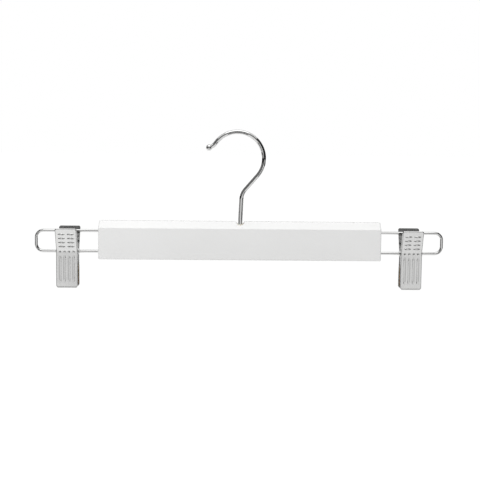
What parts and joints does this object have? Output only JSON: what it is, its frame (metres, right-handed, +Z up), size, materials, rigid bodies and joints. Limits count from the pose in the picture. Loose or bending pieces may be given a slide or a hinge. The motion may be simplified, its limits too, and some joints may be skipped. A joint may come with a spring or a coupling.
{
  "type": "skirt hanger",
  "caption": "Skirt hanger: a white lacquered wooden bar on a chrome swivel hook, with a wire loop at each end carrying a sliding, spring-loaded metal clip.",
  "frame": {"origin": "on the swivel axis, level with the inside of the hook's crown, where the rail touches it", "axes": "+X along the bar to the viewer's right, -Y to the front, +Z up along the swivel axis"},
  "size_m": [0.355, 0.017, 0.1382],
  "materials": {
    "white_lacquer": "satin white lacquer",
    "chrome": "bright chrome plating",
    "spring_steel": "bright drawn wire",
    "nylon": "natural nylon",
    "vinyl": "soft matt vinyl"
  },
  "bodies": {
    "hook": {"swivel_hook": "chrome"},
    "bar": {"wooden_bar": "white_lacquer", "hook_bush": "nylon", "left_wire_loop": "chrome", "right_wire_loop": "chrome"},
    "left_pivot": {"left_pivot_tube": "chrome"},
    "left_spring": {"left_spring": "spring_steel"},
    "left_front_jaw": {"left_front_plate": "chrome", "left_front_pad": "vinyl"},
    "left_back_jaw": {"left_back_plate": "chrome", "left_back_pad": "vinyl"},
    "right_pivot": {"right_pivot_tube": "chrome"},
    "right_spring": {"right_spring": "spring_steel"},
    "right_front_jaw": {"right_front_plate": "chrome", "right_front_pad": "vinyl"},
    "right_back_jaw": {"right_back_plate": "chrome", "right_back_pad": "vinyl"}
  },
  "joints": [
    {"name": "hook_swivel", "type": "hinge", "parent": "hook", "child": "bar", "pos_m": [0, 0, -0.0758], "axis": [0, 0, 1], "continuous": true},
    {"name": "left_clip_slide", "type": "slide", "parent": "bar", "child": "left_pivot", "axis": [-1, 0, 0], "range_m": [-0.0168, 0.0109]},
    {"name": "left_clip_rock", "type": "hinge", "parent": "left_pivot", "child": "left_spring", "pos_m": [-0.1492, 0, -0.1031], "axis": [-1, 0, 0], "range_deg": [-3, 3]},
    {"name": "left_jaw_open", "type": "hinge", "parent": "left_spring", "child": "left_front_jaw", "pos_m": [-0.1492, 0, -0.1031], "axis": [-1, 0, 0], "range_deg": [0, 13], "stiffness_Nm_per_rad": 0.1, "springref_deg": -45.84, "deforming": ["left_spring"]},
    {"name": "left_back_jaw_open", "type": "hinge", "parent": "left_spring", "child": "left_back_jaw", "pos_m": [-0.1492, 0, -0.1031], "axis": [-1, 0, 0], "range_deg": [-13, 0], "deforming": ["left_spring"]},
    {"name": "right_clip_slide", "type": "slide", "parent": "bar", "child": "right_pivot", "axis": [1, 0, 0], "range_m": [-0.0168, 0.0109]},
    {"name": "right_clip_rock", "type": "hinge", "parent": "right_pivot", "child": "right_spring", "pos_m": [0.1492, 0, -0.1031], "axis": [-1, 0, 0], "range_deg": [-3, 3]},
    {"name": "right_jaw_open", "type": "hinge", "parent": "right_spring", "child": "right_front_jaw", "pos_m": [0.1492, 0, -0.1031], "axis": [-1, 0, 0], "range_deg": [0, 13], "stiffness_Nm_per_rad": 0.1, "springref_deg": -45.84, "deforming": ["right_spring"]},
    {"name": "right_back_jaw_open", "type": "hinge", "parent": "right_spring", "child": "right_back_jaw", "pos_m": [0.1492, 0, -0.1031], "axis": [-1, 0, 0], "range_deg": [-13, 0], "deforming": ["right_spring"]}
  ],
  "couplings": [
    {"joint": "left_back_jaw_open", "follows": "left_jaw_open", "ratio": -1},
    {"joint": "right_back_jaw_open", "follows": "right_jaw_open", "ratio": -1}
  ]
}
